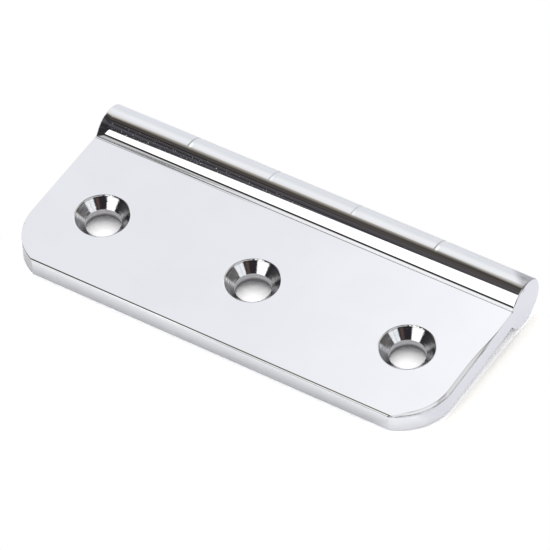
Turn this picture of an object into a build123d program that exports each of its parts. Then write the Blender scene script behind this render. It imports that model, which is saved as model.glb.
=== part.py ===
from build123d import *
import math
import os

# Dummy butt hinge: one solid leaf with a false knuckle along its back edge.
# Millimetres. X runs along the knuckle, Y from the free edge towards the knuckle, Z out of the countersunk face.
# It is drawn with the knuckle's axis on X, then set down with its lowest line at Z = 0 and its middle over the origin.

# Leaf
leaf_length = 76.0
leaf_thickness = 3.2
free_edge_to_axis = 30.9

# Free corners: each arc is tangent to the leaf's end and is cut short by the straight free edge
corner_radius = 9.5
corner_overcut = 0.7

# Knuckle: it stands out of both faces of the leaf, with a small fillet where the countersunk face meets it
knuckle_diameter = 8.4
axis_below_face = 1.85
neck_radius = 0.2

# Polishing rounds: the countersunk face's ends and corners with the knuckle's ends, its free edge, the holes' rims.
# The edges of the back stay crisp.
end_rounding = 0.2
free_edge_rounding = 0.4
rim_rounding = 0.3

# Countersunk screw holes in one row
hole_count = 3
hole_from_end = 10.4
hole_from_free_edge = 13.15
hole_diameter = 5.8
sink_diameter = 8.85
sink_angle = 86.0

# Shallow grooves that mark off the false knuckles, from the top of the knuckle over its back to its lowest line
knuckle_count = 5
end_knuckle_length = 15.6
groove_width = 0.8
groove_depth = 0.06

# Worked out from the values above
half_length = leaf_length / 2
knuckle_radius = knuckle_diameter / 2
back_below_axis = leaf_thickness - axis_below_face
hole_pitch = (leaf_length - 2 * hole_from_end) / (hole_count - 1)
groove_pitch = (leaf_length - 2 * end_knuckle_length) / (knuckle_count - 2)
groove_ball = (groove_width**2 / 4 + groove_depth**2) / (2 * groove_depth)
groove_path = knuckle_radius - groove_depth + groove_ball
neck_to_axis = math.sqrt(knuckle_radius**2 - axis_below_face**2)


def end_section():
    """The leaf and the knuckle as seen along X: a bar with a round on its end, drawn past the free edge."""
    bar_length = free_edge_to_axis + corner_overcut
    with BuildSketch(Plane.YZ) as section:
        Circle(knuckle_radius)
        with Locations((-bar_length, -back_below_axis)):
            Rectangle(bar_length, leaf_thickness, align=(Align.MIN, Align.MIN))
        neck = section.vertices().sort_by_distance((-neck_to_axis, axis_below_face))[0]
        fillet(neck, neck_radius)
    return section.sketch


def plan_outline():
    """The hinge as seen from above, with its free corners drawn past the free edge."""
    with BuildSketch(Plane.XY) as outline:
        with Locations((0, knuckle_radius)):
            Rectangle(
                leaf_length,
                free_edge_to_axis + corner_overcut + knuckle_radius,
                align=(Align.CENTER, Align.MAX),
            )
        fillet(outline.vertices().group_by(Axis.Y)[0], corner_radius)
    return outline.sketch


def countersunk_face(body):
    return body.faces().filter_by(Axis.Z).sort_by(Axis.Z)[-1]


def end_edges(body):
    """The countersunk face's ends and corner arcs, and the round of each knuckle end."""
    face_outline = countersunk_face(body).edges().sort_by(Axis.Y)[:-1]
    end_rounds = body.edges().filter_by(Plane.YZ).filter_by(GeomType.CIRCLE)
    return face_outline + end_rounds


def free_edge_waste():
    """What the straight free edge and its rounding take off, as seen along X."""
    with BuildSketch(Plane.YZ) as waste:
        with Locations((free_edge_rounding - free_edge_to_axis, axis_below_face)):
            Rectangle(corner_overcut + free_edge_rounding, leaf_thickness, align=(Align.MAX, Align.MAX))
        with Locations((free_edge_rounding - free_edge_to_axis, axis_below_face - free_edge_rounding)):
            Circle(free_edge_rounding, mode=Mode.SUBTRACT)
            Rectangle(free_edge_rounding, leaf_thickness, align=(Align.MAX, Align.MAX), mode=Mode.SUBTRACT)
    return waste.sketch


def groove_rings():
    """Half rings left by a ball-nosed cutter round the knuckle's back, with the ball at each end."""
    with BuildPart() as rings:
        with GridLocations(groove_pitch, 0, knuckle_count - 1, 1):
            Torus(groove_path, groove_ball, major_angle=180, rotation=(0, 90, 0), align=None)
            with Locations((0, 0, groove_path), (0, 0, -groove_path)):
                Sphere(groove_ball)
    return rings.part


with BuildPart() as hinge:
    extrude(end_section(), half_length, both=True)
    extrude(plan_outline(), knuckle_diameter, both=True, mode=Mode.INTERSECT)
    fillet(end_edges(hinge), end_rounding)
    extrude(free_edge_waste(), half_length, both=True, mode=Mode.SUBTRACT)
    with Locations((0, hole_from_free_edge - free_edge_to_axis, axis_below_face)):
        with GridLocations(hole_pitch, 0, hole_count, 1):
            CounterSinkHole(hole_diameter / 2, sink_diameter / 2, counter_sink_angle=sink_angle)
    fillet([rim.edge() for rim in countersunk_face(hinge).inner_wires()], rim_rounding)
    add(groove_rings(), mode=Mode.SUBTRACT)

leaf = Pos(0, (free_edge_to_axis - knuckle_radius) / 2, knuckle_radius) * hinge.part

os.makedirs("parts", exist_ok=True)
export_step(leaf, "parts/hinge_leaf.step")
print("hinge_leaf", leaf.is_valid, round(leaf.volume, 1), "mm3", len(leaf.faces()), "faces")
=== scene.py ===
import math

import bpy
import numpy as np
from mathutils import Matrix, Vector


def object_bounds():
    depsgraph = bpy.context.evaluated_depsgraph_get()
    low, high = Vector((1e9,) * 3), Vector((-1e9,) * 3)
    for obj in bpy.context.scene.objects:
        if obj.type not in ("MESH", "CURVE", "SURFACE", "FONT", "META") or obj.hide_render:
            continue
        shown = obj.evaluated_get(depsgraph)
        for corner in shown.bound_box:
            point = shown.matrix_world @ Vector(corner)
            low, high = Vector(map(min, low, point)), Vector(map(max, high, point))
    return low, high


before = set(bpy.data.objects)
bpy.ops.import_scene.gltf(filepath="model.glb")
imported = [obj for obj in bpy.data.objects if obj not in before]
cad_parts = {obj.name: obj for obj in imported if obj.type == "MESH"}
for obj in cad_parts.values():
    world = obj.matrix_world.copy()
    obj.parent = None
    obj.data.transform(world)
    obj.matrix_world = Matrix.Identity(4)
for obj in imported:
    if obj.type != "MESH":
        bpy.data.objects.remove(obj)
cadBox = [list(corner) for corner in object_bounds()]
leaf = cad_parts["hinge_leaf"]
mm = 0.001  # sizes and places below are in millimetres, unless a note says otherwise

# sizes of the part that the finish and the sheet follow
halfLength = round(cadBox[1][0] / mm, 3)
halfWidth = round(-cadBox[0][1] / mm, 3)
knuckleRadius = round(cadBox[1][2] / 2 / mm, 3)
print("frame loaded")


# One wired value: sums on it add Math nodes, so a mask reads as plain arithmetic
class Wire:
    def __init__(self, bench, socket):
        self.bench = bench
        self.socket = socket

    def __add__(self, other):
        return self.bench.maths("ADD", self, other)

    def __radd__(self, other):
        return self.bench.maths("ADD", other, self)

    def __sub__(self, other):
        return self.bench.maths("SUBTRACT", self, other)

    def __rsub__(self, other):
        return self.bench.maths("SUBTRACT", other, self)

    def __mul__(self, other):
        return self.bench.maths("MULTIPLY", self, other)

    def __rmul__(self, other):
        return self.bench.maths("MULTIPLY", other, self)

    def __truediv__(self, other):
        return self.bench.maths("DIVIDE", self, other)

    def __rtruediv__(self, other):
        return self.bench.maths("DIVIDE", other, self)

    def least(self, other):
        return self.bench.maths("MINIMUM", self, other)

    def most(self, other):
        return self.bench.maths("MAXIMUM", self, other)

    # the lesser of two, with the corner between them rounded that far
    def blendLeast(self, other, soft):
        return self.bench.maths("SMOOTH_MIN", self, other, soft)

    def root(self):
        return self.bench.maths("SQRT", self)

    def size(self):
        return self.bench.maths("ABSOLUTE", self)

    def wave(self):
        return self.bench.maths("SINE", self)

    # 0 before start and 1 past end, with a soft S between; start above end turns it round
    def step(self, start, end):
        low, high, first, last = (start, end, 0.0, 1.0) if start < end else (end, start, 1.0, 0.0)
        return self.bench.wire(
            "ShaderNodeMapRange",
            {"interpolation_type": "SMOOTHSTEP"},
            {"Value": self, "From Min": low, "From Max": high, "To Min": first, "To Max": last},
            "Result",
        )

    # 1 between low and high, with edges that soft to either side
    def band(self, low, high, soft):
        return self.step(low - soft, low + soft) * self.step(high + soft, high - soft)


# A node tree to wire up, emptied first
class Bench:
    def __init__(self, tree):
        self.tree = tree
        tree.nodes.clear()

    # Any node: its settings are set first, then its sockets get a value or a wire
    def node(self, kind, settings=None, sockets=None):
        made = self.tree.nodes.new(kind)
        for name, value in (settings or {}).items():
            setattr(made, name, value)
        for key, value in (sockets or {}).items():
            if isinstance(value, Wire):
                self.tree.links.new(value.socket, made.inputs[key])
            else:
                made.inputs[key].default_value = value
        return made

    def wire(self, kind, settings=None, sockets=None, output=0):
        return Wire(self, self.node(kind, settings, sockets).outputs[output])

    def maths(self, operation, *values):
        return self.wire("ShaderNodeMath", {"operation": operation}, dict(enumerate(values)))

    def axes(self, vector):
        parts = self.node("ShaderNodeSeparateXYZ", None, {0: vector})
        return [Wire(self, parts.outputs[i]) for i in range(3)]

    def vector(self, x, y, z):
        return self.wire("ShaderNodeCombineXYZ", None, {0: x, 1: y, 2: z})

    def grey(self, level):
        return self.vector(level, level, level)

    # x, y and z of a point on its piece
    def place(self):
        return [axis / mm for axis in self.axes(self.wire("ShaderNodeTexCoord", None, None, "Object"))]

    # is it the camera that looks, and is it a mirror
    def rays(self):
        path = self.node("ShaderNodeLightPath")
        return [Wire(self, path.outputs[name]) for name in ("Is Camera Ray", "Is Glossy Ray")]

    def distance(self, across, along):
        return (across * across + along * along).root()

    # how far x is past the nearest of a row of places, which stand a pitch apart from the first on
    def pastNearest(self, x, first, pitch):
        return self.maths("FLOORED_MODULO", x + (pitch / 2 - first), pitch) - pitch / 2

    def pick(self, share, first, second):
        return first + share * (second - first)

    # Blend of two colours: Mix's colour sockets are 6 and 7, and its colour output is 2
    def blend(self, share, first, second):
        return self.wire("ShaderNodeMix", {"data_type": "RGBA"}, {0: share, 6: first, 7: second}, 2)

    # a colour times a level
    def dim(self, colour, level):
        return self.wire("ShaderNodeVectorMath", {"operation": "MULTIPLY"}, {0: colour, 1: self.grey(level)})

    def noise(self, vector, scale, detail):
        sockets = {"Vector": vector, "Scale": scale, "Detail": detail}
        return self.wire("ShaderNodeTexNoise", {"noise_dimensions": "3D"}, sockets, "Fac")


# Polished chrome plate, with faint clouds in it
chrome = {
    "colour": (0.65, 0.655, 0.665, 1.0),
    "roughness": 0.03,
    "cloudLevel": 0.982,  # how bright a cloud is against the rest
    "cloudScale": 0.12,
    "cloudDetail": 2.0,
    "cloudEdge": (0.35, 0.65),  # of the noise
}


# The light that shows in the chrome as a screen colour: 0 to 255, or a little past it for a glare
def shownAs(r, g, b, level=1.0):
    linear = [((c / 255 + 0.055) / 1.055) ** 2.4 for c in (r, g, b)]
    return (*[c * level / plate for c, plate in zip(linear, chrome["colour"])], 1.0)


# The room that the chrome mirrors, by direction. A step below has its start and its end, and a band has its
# start, its end and how soft its edges are: in degrees for az and el, in ceiling heights for over and back
room = {
    "drop": 1.9,  # degrees by which the lamp, the gap and the table lie lower on their left
    "dropFrom": (30, 10),  # az
    "softLight": (0.1, 1.35),  # on everything matt: from all round, and what is added right above
}


# A direction from the part into the room
class Ways:
    def __init__(self, bench):
        self.x, self.y, self.z = bench.axes(bench.wire("ShaderNodeTexCoord", None, None, "Generated"))
        degrees = 180 / math.pi
        self.el = bench.maths("ARCSINE", self.z) * degrees  # above the horizon
        self.az = bench.maths("ARCTAN2", self.x, 0 - self.y) * degrees  # round from the front to the right
        self.low = self.el + room["drop"] * self.az.step(*room["dropFrom"])
        nearZero = 0.02  # keeps what is divided by off zero
        up = self.z.most(nearZero)
        self.over = self.x / up  # to the right, where the direction meets a ceiling one unit up
        self.back = self.y / up
        self.aside = self.x / self.y.most(nearZero)


# The dark sides, from the left round to the right
sides = {
    "leftWall": shownAs(88, 86, 88),
    "leftDark": shownAs(44, 43, 47),
    "rightDark": shownAs(42, 40, 45),
    "rightWall": shownAs(92, 90, 90),
    "turns": ((-75, -50), (-12, 12), (98, 108)),  # az where each passes into the next
    "redStripe": shownAs(82, 68, 64),
    "redBand": (45, 59, 3.0),  # az
}


def sidesAround(bench, ways):
    toLeftDark, toRightDark, toRightWall = [ways.az.step(*turn) for turn in sides["turns"]]
    look = bench.blend(toLeftDark, sides["leftWall"], sides["leftDark"])
    look = bench.blend(toRightDark, look, sides["rightDark"])
    look = bench.blend(ways.az.band(*sides["redBand"]), look, sides["redStripe"])
    return bench.blend(toRightWall, look, sides["rightWall"])


# The ceiling, in uneven strips: brownish behind, darker to the left in front, with two dark lines across
ceiling = {
    "from": (44, 56),  # el
    "rear": shownAs(75, 71, 69),
    "front": shownAs(79, 76, 80),
    "frontFrom": (0.01, -0.12),  # back
    "left": shownAs(56, 54, 56),
    "leftEnd": (-0.52, -0.42),  # over
    "frontEnd": shownAs(70, 69, 75),
    "frontEndFrom": (-0.22, -0.31),  # back
    "line": shownAs(30, 28, 28),
    "straightLine": (-0.06, 0.015, 0.03),  # back
    "straightFrom": (-0.37, -0.45),  # over
    "slant": 1.7,
    "slantedLine": (-1.105, -1.035, 0.025),  # back and slant times over
    "slantedFrom": (-0.18, -0.24),  # back
    "stripStretch": (0.5, 5.4, 3.7),  # over, back and the slice of the noise
    "stripScale": 2.6,
    "stripDetail": 3.0,
    "stripLevel": (0.14, 1.76),  # level where the noise is 0, and what it adds where it is 1
    "dim": (0.6, 0.4),  # level at the far left, and what is added right of it
    "dimEnd": (-0.85, -0.6),  # over
}


def addCeiling(bench, ways, look):
    over, back = ways.over, ways.back
    front = bench.blend(over.step(*ceiling["leftEnd"]), ceiling["left"], ceiling["front"])
    front = bench.blend(back.step(*ceiling["frontEndFrom"]), front, ceiling["frontEnd"])
    board = bench.blend(back.step(*ceiling["frontFrom"]), ceiling["rear"], front)
    straight = back.band(*ceiling["straightLine"]) * over.step(*ceiling["straightFrom"])
    slanted = (back + ceiling["slant"] * over).band(*ceiling["slantedLine"])
    slanted = slanted * back.step(*ceiling["slantedFrom"])
    board = bench.blend(straight.most(slanted), board, ceiling["line"])
    stretchOver, stretchBack, cut = ceiling["stripStretch"]
    stretched = bench.vector(over * stretchOver, back * stretchBack, cut)
    strips = bench.noise(stretched, ceiling["stripScale"], ceiling["stripDetail"])
    darkest, span = ceiling["stripLevel"]
    dimmest, added = ceiling["dim"]
    level = (darkest + span * strips) * (dimmest + added * over.step(*ceiling["dimEnd"]))
    return bench.blend(ways.el.step(*ceiling["from"]), look, bench.dim(board, level))


# The window on the right, with its bars
window = {
    "light": shownAs(240, 243, 248),
    "across": (67, 102, 1.5),  # az
    "upward": (14, 46, 2.0),  # el
    "upperBar": (33.2, 34.4, 0.4),  # el
    "lowerBar": (28.0, 28.8, 0.4),  # el
    "post": (83, 85, 0.5),  # az
    "barShade": 0.5,
}


def addWindow(bench, ways, look):
    bars = ways.el.band(*window["upperBar"]) + ways.el.band(*window["lowerBar"])
    bars = bars.most(ways.az.band(*window["post"]))
    pane = ways.az.band(*window["across"]) * ways.el.band(*window["upward"])
    return bench.blend(pane * (1 - window["barShade"] * bars), look, window["light"])


# White cards: az, el and colour of each
cards = {
    "high": ((34, 128, 8.0), (54, 76, 3.0), shownAs(232, 232, 236)),
    "backRight": ((122, 158, 4.0), (26, 50, 4.0), shownAs(216, 216, 220)),
    "right": ((99, 131, 3.0), (33, 54, 3.0), shownAs(206, 206, 210)),
}


def addCards(bench, ways, look):
    for across, upward, light in cards.values():
        look = bench.blend(ways.az.band(*across) * ways.el.band(*upward), look, light)
    return look


# The lamp in front, whose left edge turns outwards above
lamp = {
    "light": shownAs(255, 255, 255, 1.3),
    "left": (-35.4, -34.0),  # az
    "right": (9.8, 7.6),  # az
    "foot": (22.2, 23.0),  # el
    "top": (74, 70),  # el
    "flareSlope": 2.36,  # back for each unit over
    "flareStart": 0.572,  # back
    "flareEdge": (0.012, -0.012),
    "inFront": (0.1, 0.0),  # y
}


def addLamp(bench, ways, look):
    flare = ways.back - lamp["flareSlope"] * ways.over - lamp["flareStart"]
    left = ways.az.step(*lamp["left"]).most(flare.step(*lamp["flareEdge"]))
    upright = ways.low.step(*lamp["foot"]) * ways.el.step(*lamp["top"])
    lit = left * ways.az.step(*lamp["right"]) * upright * ways.y.step(*lamp["inFront"])
    return bench.blend(lit, look, lamp["light"])


# Under the lamp: a dark gap, then the lit table
table = {
    "gap": shownAs(52, 48, 46),
    "gapAcross": (-50, 62, 6.0),  # az
    "gapTop": (22.6, 21.8),  # el
    "light": shownAs(243, 245, 249),
    "lightRight": shownAs(196, 199, 206),
    "rightFrom": (34, 46),  # az
    "left": (-30, -22),  # az
    "right": (66, 54),  # az
    "top": (16.8, 15.6),  # el
}


def addTable(bench, ways, look):
    az = ways.az
    look = bench.blend(az.band(*table["gapAcross"]) * ways.low.step(*table["gapTop"]), look, table["gap"])
    light = bench.blend(az.step(*table["rightFrom"]), table["light"], table["lightRight"])
    lit = az.step(*table["left"]) * az.step(*table["right"]) * ways.low.step(*table["top"])
    return bench.blend(lit, look, light)


# The pale wall behind, which fades into the ceiling
backWall = {
    "low": shownAs(219, 222, 228),
    "middle": shownAs(238, 240, 243),
    "middleFrom": (12, 40),  # el
    "highLeft": shownAs(230, 232, 238),
    "highRight": shownAs(253, 254, 259),
    "highFrom": (39, 46.5),  # el
    "rightFrom": (-0.55, -0.40),  # over
    "fade": shownAs(190, 185, 175),
    "fadeSlope": 0.4,  # back for each unit over, as in slope
    "fadeFrom": (0.378, 0.60),  # back
    "slope": 0.93,
    "from": (0.70, 1.22),  # back
    "behind": (-0.08, 0.12),  # y
    "rightEnd": (0.75, 0.45),  # aside
}


def addBackWall(bench, ways, look):
    over, back = ways.over, ways.back
    wall = bench.blend(ways.el.step(*backWall["middleFrom"]), backWall["low"], backWall["middle"])
    high = bench.blend(over.step(*backWall["rightFrom"]), backWall["highLeft"], backWall["highRight"])
    wall = bench.blend(ways.el.step(*backWall["highFrom"]), wall, high)
    behind = ways.y.step(*backWall["behind"]) * ways.aside.step(*backWall["rightEnd"])
    faded = (back - backWall["fadeSlope"] * over).step(*backWall["fadeFrom"])
    look = bench.blend(faded * behind, look, backWall["fade"])
    return bench.blend((back - backWall["slope"] * over).step(*backWall["from"]) * behind, look, wall)


def buildRoom():
    world = bpy.data.worlds.new("studioRoom")
    bpy.context.scene.world = world
    world.use_nodes = True
    bench = Bench(world.node_tree)
    ways = Ways(bench)
    look = sidesAround(bench, ways)
    for add in (addCeiling, addWindow, addCards, addLamp, addTable, addBackWall):
        look = add(bench, ways, look)
    # mirrors see the room, everything matt is lit softly, and the camera sees white
    isCamera, isGlossy = bench.rays()
    around, above = room["softLight"]
    seen = bench.blend(isGlossy, bench.grey(around + above * ways.z.most(0.0)), look)
    seen = bench.blend(isCamera, seen, (1.0, 1.0, 1.0, 1.0))
    light = bench.wire("ShaderNodeBackground", None, {"Color": seen, "Strength": 1.0})
    bench.node("ShaderNodeOutputWorld", None, {"Surface": light})
    print("room built")


# The white sheet that the part lies on. The part rests on its free edge and its knuckle, and isn't turned for
# that, so the sheet is tilted
sheet = {
    "tiltDegrees": 5.31,
    "contactHeight": 2.85,  # of the free edge's lowest line
    "levelWithin": 16.0,  # the way in front of that line on which the sheet turns level
    "reach": 1600.0,
    "paper": (0.84, 0.84, 0.86, 1.0),
    "paperThrough": (1.5, 1.49, 1.49, 1.0),  # seen through the screw holes
    "paperSeen": (1.3, 1.3, 1.31, 1.0),  # seen beside the part
    "paperWarmShadow": (1.3, 1.26, 1.2, 1.0),  # the same past the right end, warmer: a painted warm tint of the shadow there
    "warmFrom": (37, 39),  # x
    "paperCornerShade": (0.5, 0.52, 0.58, 1.0),  # painted shade on the paper, in the corner between the leaf's right end and the knuckle
    "cornerShadeShare": 0.45,
    "cornerShadeAcross": ((30, 34), (38.8, 37.0)),  # x
    "cornerShadeAlong": ((-5, 7), (13.5, 12.0)),  # y
    "paperUnder": (0.92, 0.92, 0.95, 1.0),  # mirrored, in the part's shadow
    "paperMirrored": (1.38, 1.39, 1.42, 1.0),  # mirrored, in front of the part and to its right
    "frontFrom": (-0.3, 2.7),  # ahead of the free edge
    "rightFrom": (27, 34),  # x
    "paperBehind": (1.0, 1.01, 1.04, 1.0),  # mirrored in the back of the knuckle
    "behindFrom": (18, 40),  # y
    "besideEnds": (1.06, 1.05, 1.13, 1.0),  # what the part's ends mirror
    "besideShare": 0.8,
    "besideFrom": (-0.8, 1.2),  # past the end
    "outlineEdge": 0.2,  # round the part, before its shadow begins to fade
    "shadowReach": 2.6,  # round the part, where its shadow has faded out
}


def buildSheet():
    # z = contact height minus tan(tilt) times the way back from the contact; in front the slope fades to none
    yContact, zContact = -halfWidth, sheet["contactHeight"]
    slope = math.tan(math.radians(sheet["tiltDegrees"]))
    run, reach = sheet["levelWithin"], sheet["reach"]
    # grid lines, close together under the part
    ys = np.concatenate([[-reach], np.linspace(-60, 60, 61), [120, 400, reach]])
    xs = np.array([-reach, -100, 0, 100, reach])
    ahead = np.clip(yContact - ys, 0, run)
    rise = zContact + slope * (ahead - ahead**2 / (2 * run))
    zs = np.where(ys > yContact, zContact - slope * (ys - yContact), rise)
    gridX, gridY = np.meshgrid(xs, ys, indexing="ij")
    points = np.stack([gridX, gridY, np.broadcast_to(zs, gridX.shape)], -1).reshape(-1, 3) * mm
    i, j = np.meshgrid(np.arange(len(xs) - 1), np.arange(len(ys) - 1), indexing="ij")
    corner = (i * len(ys) + j).ravel()
    faces = np.stack([corner, corner + len(ys), corner + len(ys) + 1, corner + 1], -1)
    mesh = bpy.data.meshes.new("whiteSheet")
    mesh.from_pydata(points.tolist(), [], faces.tolist())
    mesh.polygons.foreach_set("use_smooth", np.ones(len(faces), bool))
    floor = bpy.data.objects.new("whiteSheet", mesh)
    bpy.context.scene.collection.objects.link(floor)
    mesh.materials.append(whitePaper())
    print("sheet built")


def whitePaper():
    material = bpy.data.materials.new("whitePaper")
    material.use_nodes = True
    bench = Bench(material.node_tree)
    x, y, _ = bench.place()
    isCamera, isGlossy = bench.rays()
    pastEnd = x.size() - halfLength
    outside = bench.distance(pastEnd.most(0), (y.size() - halfWidth).most(0))

    # the paper as the chrome mirrors it
    litPaper = (0 - y - halfWidth).step(*sheet["frontFrom"]).most(x.step(*sheet["rightFrom"]))
    mirrored = bench.blend(litPaper, sheet["paperUnder"], sheet["paperMirrored"])
    mirrored = bench.blend(y.step(*sheet["behindFrom"]), mirrored, sheet["paperBehind"])
    colour = bench.blend(isGlossy, sheet["paper"], mirrored)

    # the paper as the camera sees it
    # past the right end the paper is warmer, a painted warm tint of the shadow there
    seen = bench.blend(x.step(*sheet["warmFrom"]), sheet["paperSeen"], sheet["paperWarmShadow"])
    # painted shade on the paper in the corner between the leaf's right end and the knuckle
    (left, right), (front, rear) = sheet["cornerShadeAcross"], sheet["cornerShadeAlong"]
    cornerShade = x.step(*left) * x.step(*right) * y.step(*front) * y.step(*rear)
    seen = bench.blend(cornerShade * sheet["cornerShadeShare"], seen, sheet["paperCornerShade"])
    seen = bench.blend(outside.step(0.0, sheet["outlineEdge"]), sheet["paperThrough"], seen)
    colour = bench.blend(isCamera, colour, seen)
    paper = bench.wire("ShaderNodeBsdfDiffuse", None, {"Color": colour})

    # the shadow fades out close to the part, and the paper beyond shows plain.
    # Past the part's ends the paper is mirrored as a mostly even tone
    plain = bench.blend(isCamera, sheet["besideEnds"], (1.0, 1.0, 1.0, 1.0))
    glow = bench.wire("ShaderNodeEmission", None, {"Color": plain, "Strength": 1.0})
    share = isCamera * outside.step(sheet["outlineEdge"], sheet["shadowReach"])
    share = share + isGlossy * pastEnd.step(*sheet["besideFrom"]) * sheet["besideShare"]
    surface = bench.wire("ShaderNodeMixShader", None, {0: share, 1: paper, 2: glow})
    bench.node("ShaderNodeOutputMaterial", None, {"Surface": surface})
    return material


# The leaf's right end, worn by polishing: a flat slope stands where the solid has its rounding
wornEnd = {
    "slope": 0.57,  # how steeply it falls towards the end
    "width": 0.08,
    "wider": 0.66,  # what its width gains towards the corner
    "widerAcross": (32.0, 34.5),  # x
    "widerAlong": (7.0, -4.0),  # y
    "softEdge": 0.05,  # where it leaves the flat face
    "softMeeting": 0.06,  # where it meets the end face
    "from": (31.7, 32.2),  # x
    "rearEnd": (9.4, 8.9),  # y
    "above": (5.78, 5.84),  # z
    "rounding": 0.2,  # the solid's
    "cornerRadius": 9.5,
    "cornerOvercut": 0.7,  # what the straight free edge cuts off the corner's arc
}


# Height by which the slope stands outside the rounding, along the rounding's own normal
def wornHeight(bench, x, y, z):
    radius, rounding = wornEnd["cornerRadius"], wornEnd["rounding"]
    cornerX, cornerY = halfLength - radius, radius - wornEnd["cornerOvercut"] - halfWidth
    onArc = y.step(cornerY + 0.01, cornerY - 0.01)
    fromCorner = radius - bench.distance((x.size() - cornerX).most(0), (cornerY - y).most(0))
    inside = bench.pick(onArc, halfLength - x.size(), fromCorner)
    wider = x.step(*wornEnd["widerAcross"]) * y.step(*wornEnd["widerAlong"])
    depth = (wider * wornEnd["wider"] + wornEnd["width"] - inside).most(0)
    roll = (depth * depth + wornEnd["softEdge"] ** 2).root()  # the depth with its start softened
    slope = wornEnd["slope"] * depth / roll
    fall = wornEnd["slope"] * (roll - wornEnd["softEdge"])
    # the normal's share towards the end and its share upwards; small limits keep what is divided by off zero
    lean = ((rounding - inside) / rounding).most(0).least(0.999)
    level = (1 - lean * lean).root()
    toSlope = (rounding * (1 - level) - fall) / (level + slope * lean).most(0.05)
    toEndFace = inside.most(0) / lean.most(0.02)
    where = z.step(*wornEnd["above"]) * y.step(*wornEnd["rearEnd"]) * x.step(*wornEnd["from"])
    return toSlope.blendLeast(toEndFace, wornEnd["softMeeting"]) * where


# The knuckle's left end, which polishing has rounded over. Places are y
roundedEnd = {
    "length": 1.95,  # how far in from the end it reaches
    "shorterOnTop": 0.45,
    "topFrom": (10.6, 11.2),
    "nearNeck": ((9.95, 1.4, 0.8), (9.5, 0.0, 4.0)),  # from a y on: its length there and what it gains per mm
    "fall": (0.08, 0.03),  # per mm of the way out, and what it gains per mm
    "from": (9.3, 9.6),
    "rearEnd": (13.0, 11.2),
}


# Height that falls away towards the end as a parabola
def roundedHeight(x, y):
    length = roundedEnd["length"] - roundedEnd["shorterOnTop"] * y.step(*roundedEnd["topFrom"])
    for start, lengthThere, gain in roundedEnd["nearNeck"]:
        length = length.least(lengthThere + gain * (y - start))
    out = (length - (halfLength + x)).most(0)
    first, more = roundedEnd["fall"]
    return out * (first + more * out) * y.step(*roundedEnd["rearEnd"]) * y.step(*roundedEnd["from"])


# The countersunk screw holes, in a row
holes = {
    "pitch": 27.6,
    "row": -4.4,  # y of their axes
    "boreEdge": (2.96, 2.94),  # radius
    "boreTop": (4.435, 4.405),  # z
    "boreColour": (0.74, 0.735, 0.75, 1.0),
    "boreDeepShade": (0.2, 0.19, 0.2, 1.0),  # painted shade, on the lower part of the bores
    "deepFrom": (3.75, 3.15),  # z
    "boreRoughness": 0.55,
    "boreMetal": 0.2,
    "coneEdge": (4.5, 4.3),  # radius
    "coneTop": (6.0, 5.85),  # z
    "ringHeight": 0.03,  # rings that the countersink left in the cones
    "ringsUp": 6.0,  # how fast they change up the cone
    "ringsAlong": 0.1,  # and along the leaf, so that the holes differ
    "ringDetail": 3.0,
    # the cones' sides towards the back right and the front left: painted shade, and a rougher finish
    "coneShadeColour": (0.32, 0.32, 0.325, 1.0),
    "dullRoughness": 0.1,
    "shadedBackRight": ((0.69, 0.72), (0.90, 0.97)),  # x and y of the way to it, and how near that way it lies
    "shadedFrontLeft": ((-0.53, -0.85), (0.82, 0.93)),
}


# Masks of the bores and of the cones' rougher sides with painted shade, the distance from a hole's axis, and
# the rings' height
def holeParts(bench, x, y, z):
    across, along = bench.pastNearest(x, 0, holes["pitch"]), y - holes["row"]
    radius = bench.distance(across, along)
    below = z.step(*holes["boreTop"])
    bore = radius.step(*holes["boreEdge"]) * below
    cone = radius.step(*holes["coneEdge"]) * z.step(*holes["coneTop"]) * (1 - below)
    towardsX, towardsY = across / radius, along / radius
    turn = bench.vector(towardsX + holes["ringsAlong"] * x, towardsY, z * holes["ringsUp"])
    rings = cone * (bench.noise(turn, 1.0, holes["ringDetail"]) - 0.5) * holes["ringHeight"]
    backRight, frontLeft = [
        (wayX * towardsX + wayY * towardsY).step(*edge)
        for (wayX, wayY), edge in (holes["shadedBackRight"], holes["shadedFrontLeft"])
    ]
    return bore, backRight.most(frontLeft) * cone, radius, rings


# Scratches along the left of the neck
scratches = {
    "colour": (0.13, 0.13, 0.125, 1.0),
    "cover": 0.62,
    "roughness": 0.25,
    "spacing": 0.33,
    "slant": 0.012,
    "thickness": (-0.7, 0.3),  # on a wave from -1 to 1
    "along": (9.13, 9.75, 0.12),  # y
    "across": (-4.0, -16.0),  # x
    "above": (6.0, 6.03),  # z
}


def scratchMask(x, y, z):
    strokes = ((y - scratches["slant"] * x) * (2 * math.pi / scratches["spacing"])).wave()
    where = y.band(*scratches["along"]) * x.step(*scratches["across"]) * z.step(*scratches["above"])
    return strokes.step(*scratches["thickness"]) * where


# Pits in the front of the knuckle's left half
pits = {
    "roughness": 0.5,
    "scale": 4.6,
    "detail": 1.0,
    "size": (0.69, 0.75),  # of the noise
    "across": (6.0, -14.0),  # x
    "along": (10.6, 11.9, 0.15),  # y
    "above": (6.1, 6.2),  # z
}


def pitMask(bench, x, y, z):
    spots = bench.noise(bench.vector(x, y, z), pits["scale"], pits["detail"]).step(*pits["size"])
    return spots * x.step(*pits["across"]) * y.band(*pits["along"]) * z.step(*pits["above"])
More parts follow.
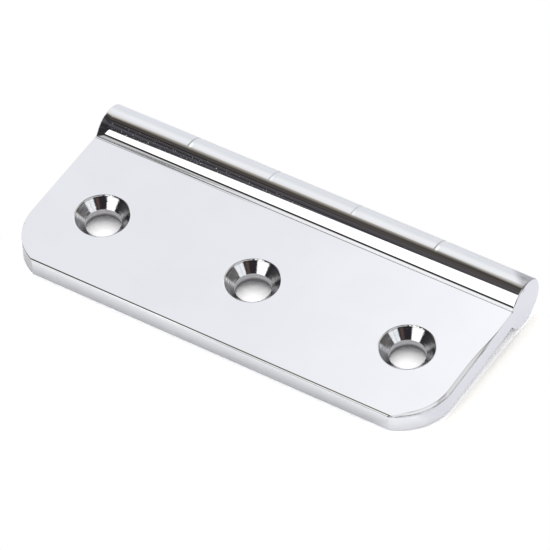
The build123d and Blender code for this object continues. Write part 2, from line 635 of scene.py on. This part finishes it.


# Painted shade on top of the knuckle: a patchy cloud at its right end, and a thin veil along its right half
knuckleShade = {
    "cloud": (0.2, 0.2, 0.205, 1.0),
    "cloudCover": 0.7,
    "cloudSlant": 0.95,  # how much further in it reaches per mm back from the turning line
    "cloudTurn": 13.5,  # y
    "cloudFrom": (35.9, 38.1),  # x
    "cloudAlong": (12.3, 13.2),  # y
    "cloudSkin": (3.95, 4.1),  # radius about the knuckle's axis
    "cloudAbove": (6.2, 7.3),  # z
    "patches": (0.6, 0.8),  # level where the noise is 0, and what it adds where it is 1
    "patchStretch": 0.5,
    "patchScale": 1.6,
    "patchDetail": 2.0,
    "veil": (0.03, 0.03, 0.03, 1.0),
    "veilCover": 0.3,
    "veilFront": (12.3, 12.55),  # y
    "veilRear": (13.6, 12.8),  # y
    "veilAcross": (5.0, 32.0),  # x
    "veilAbove": (7.0, 8.0),  # z
}


def cloudShadeMask(bench, x, y, z):
    fromAxis = bench.distance(y - (halfWidth - knuckleRadius), z - knuckleRadius)
    reach = (x + knuckleShade["cloudSlant"] * (y - knuckleShade["cloudTurn"])).step(*knuckleShade["cloudFrom"])
    where = y.step(*knuckleShade["cloudAlong"]) * fromAxis.step(*knuckleShade["cloudSkin"]) * z.step(*knuckleShade["cloudAbove"])
    least, added = knuckleShade["patches"]
    stretched = bench.vector(x * knuckleShade["patchStretch"], y, z)
    patches = least + added * bench.noise(stretched, knuckleShade["patchScale"], knuckleShade["patchDetail"])
    return reach * where * patches * knuckleShade["cloudCover"]


def veilShadeMask(x, y, z):
    along = y.step(*knuckleShade["veilRear"]) * y.step(*knuckleShade["veilFront"])
    return along * x.step(*knuckleShade["veilAcross"]) * z.step(*knuckleShade["veilAbove"]) * knuckleShade["veilCover"]


# The grooves between the false knuckles: painted shade along the left wall, and a painted highlight in the
# bottom on top
grooves = {
    "pitch": 14.933,
    "all": (-24, 24, 1.0),  # x
    "outer": (12, 18),  # x either way, from which the marks are stronger
    "shadeAcross": (-0.44, -0.2, 0.06),  # from the groove's middle
    "shadeFrom": (12.85, 13.05),  # y
    "shadeCover": (0.45, 0.3),  # at the inner grooves, and what the outer ones add
    "thinner": 0.4,  # what the painted shade loses behind
    "thinnerFrom": (13.8, 15.2),  # y
    "highlight": (0.95, 0.95, 0.96, 1.0),
    "highlightAcross": (-0.12, 0.3, 0.1),  # from the groove's middle
    "highlightAlong": (12.7, 13.9, 0.2),  # y
    "highlightCover": (0.2, 0.4),  # as for the painted shade
}


# Masks of the painted shade and the painted highlight
def grooveMarks(bench, x, y):
    fromGroove = bench.pastNearest(x, grooves["pitch"] / 2, grooves["pitch"])
    every, outer = x.band(*grooves["all"]), x.size().step(*grooves["outer"])
    shadeInner, shadeAdded = grooves["shadeCover"]
    highlightInner, highlightAdded = grooves["highlightCover"]
    shaded = fromGroove.band(*grooves["shadeAcross"]) * y.step(*grooves["shadeFrom"]) * every
    shaded = shaded * (shadeInner + shadeAdded * outer)
    shaded = shaded * (1 - grooves["thinner"] * y.step(*grooves["thinnerFrom"]))
    highlit = fromGroove.band(*grooves["highlightAcross"]) * y.band(*grooves["highlightAlong"]) * every
    return shaded, highlit * (highlightInner + highlightAdded * outer)


# Painted shade elsewhere: on the right half of the free edge's rounding, in the neck and inside the holes'
# rims
edgeShade = {
    "colour": (0.2, 0.2, 0.2, 1.0),
    "edgeAlong": (-17.15, -17.4),  # y
    "edgeAbove": (5.7, 5.85),  # z
    "edgeAcross": (-10.0, 6.0),  # x
    "edgeCover": 0.5,
    "neckAlong": (9.42, 9.62, 0.05),  # y
    "neckAbove": (6.03, 6.4, 0.03),  # z
    "neckCover": 0.3,
    "rimRadius": (4.2, 4.37, 0.05),
    "rimAbove": (5.7, 6.02, 0.03),  # z
    "rimCover": 0.5,
}


def edgeShadeMask(x, y, z, radius):
    edge = y.step(*edgeShade["edgeAlong"]) * z.step(*edgeShade["edgeAbove"]) * x.step(*edgeShade["edgeAcross"])
    neck = y.band(*edgeShade["neckAlong"]) * z.band(*edgeShade["neckAbove"])
    rim = radius.band(*edgeShade["rimRadius"]) * z.band(*edgeShade["rimAbove"])
    return (edge * edgeShade["edgeCover"]).most(neck * edgeShade["neckCover"]).most(rim * edgeShade["rimCover"])


def finishLeaf():
    material = bpy.data.materials.new("chromePlate")
    material.use_nodes = True
    bench = Bench(material.node_tree)
    x, y, z = bench.place()
    bore, dullAndShaded, radius, rings = holeParts(bench, x, y, z)
    scratched = scratchMask(x, y, z)
    shaded, highlit = grooveMarks(bench, x, y)
    shaded = shaded.most(edgeShadeMask(x, y, z, radius))

    cloudy = bench.noise(bench.vector(x, y, z), chrome["cloudScale"], chrome["cloudDetail"])
    cloudColour = tuple(c * chrome["cloudLevel"] for c in chrome["colour"])
    colour = bench.blend(cloudy.step(*chrome["cloudEdge"]), chrome["colour"], cloudColour)
    # the bore walls turn darker towards the bottom: painted shade
    boreColour = bench.blend(z.step(*holes["deepFrom"]), holes["boreColour"], holes["boreDeepShade"])
    for cover, mark in (
        (dullAndShaded, holes["coneShadeColour"]),
        (scratched * scratches["cover"], scratches["colour"]),
        (cloudShadeMask(bench, x, y, z), knuckleShade["cloud"]),
        (veilShadeMask(x, y, z), knuckleShade["veil"]),
        (highlit, grooves["highlight"]),
        (shaded, edgeShade["colour"]),
        (bore, boreColour),
    ):
        colour = bench.blend(cover, colour, mark)

    roughness = chrome["roughness"] + bore * (holes["boreRoughness"] - chrome["roughness"])
    roughness = roughness + pits["roughness"] * pitMask(bench, x, y, z)
    roughness = roughness + scratches["roughness"] * scratched + holes["dullRoughness"] * dullAndShaded
    metal = 1 - (1 - holes["boreMetal"]) * bore
    height = (wornHeight(bench, x, y, z) - roundedHeight(x, y) + rings) * mm
    normal = bench.wire("ShaderNodeBump", None, {"Strength": 1.0, "Distance": 1.0, "Height": height})
    sockets = {"Base Color": colour, "Metallic": metal, "Roughness": roughness, "Normal": normal}
    surface = bench.wire("ShaderNodeBsdfPrincipled", None, sockets)
    bench.node("ShaderNodeOutputMaterial", None, {"Surface": surface})
    leaf.data.materials.clear()
    leaf.data.materials.append(material)
    print("leaf finished")


# The photographer's camera
view = {
    "spot": (270.84, -385.015, 526.46),
    "turn": (41.8815, 2.8580, 31.8229),  # degrees
    "lens": 298.565,
    "sensor": 36.0,
    "sees": (0.01, 20.0),  # metres, from the nearest to the farthest
}


def placeCamera():
    camera = bpy.data.objects.new("camera", bpy.data.cameras.new("camera"))
    camera.data.lens = view["lens"]
    camera.data.sensor_width = view["sensor"]
    camera.data.clip_start, camera.data.clip_end = view["sees"]
    camera.location = [c * mm for c in view["spot"]]
    camera.rotation_euler = [math.radians(a) for a in view["turn"]]
    bpy.context.scene.collection.objects.link(camera)
    bpy.context.scene.camera = camera
    print("camera placed")


placeCamera()
buildRoom()
buildSheet()
finishLeaf()
bpy.context.scene.view_settings.view_transform = "Standard"
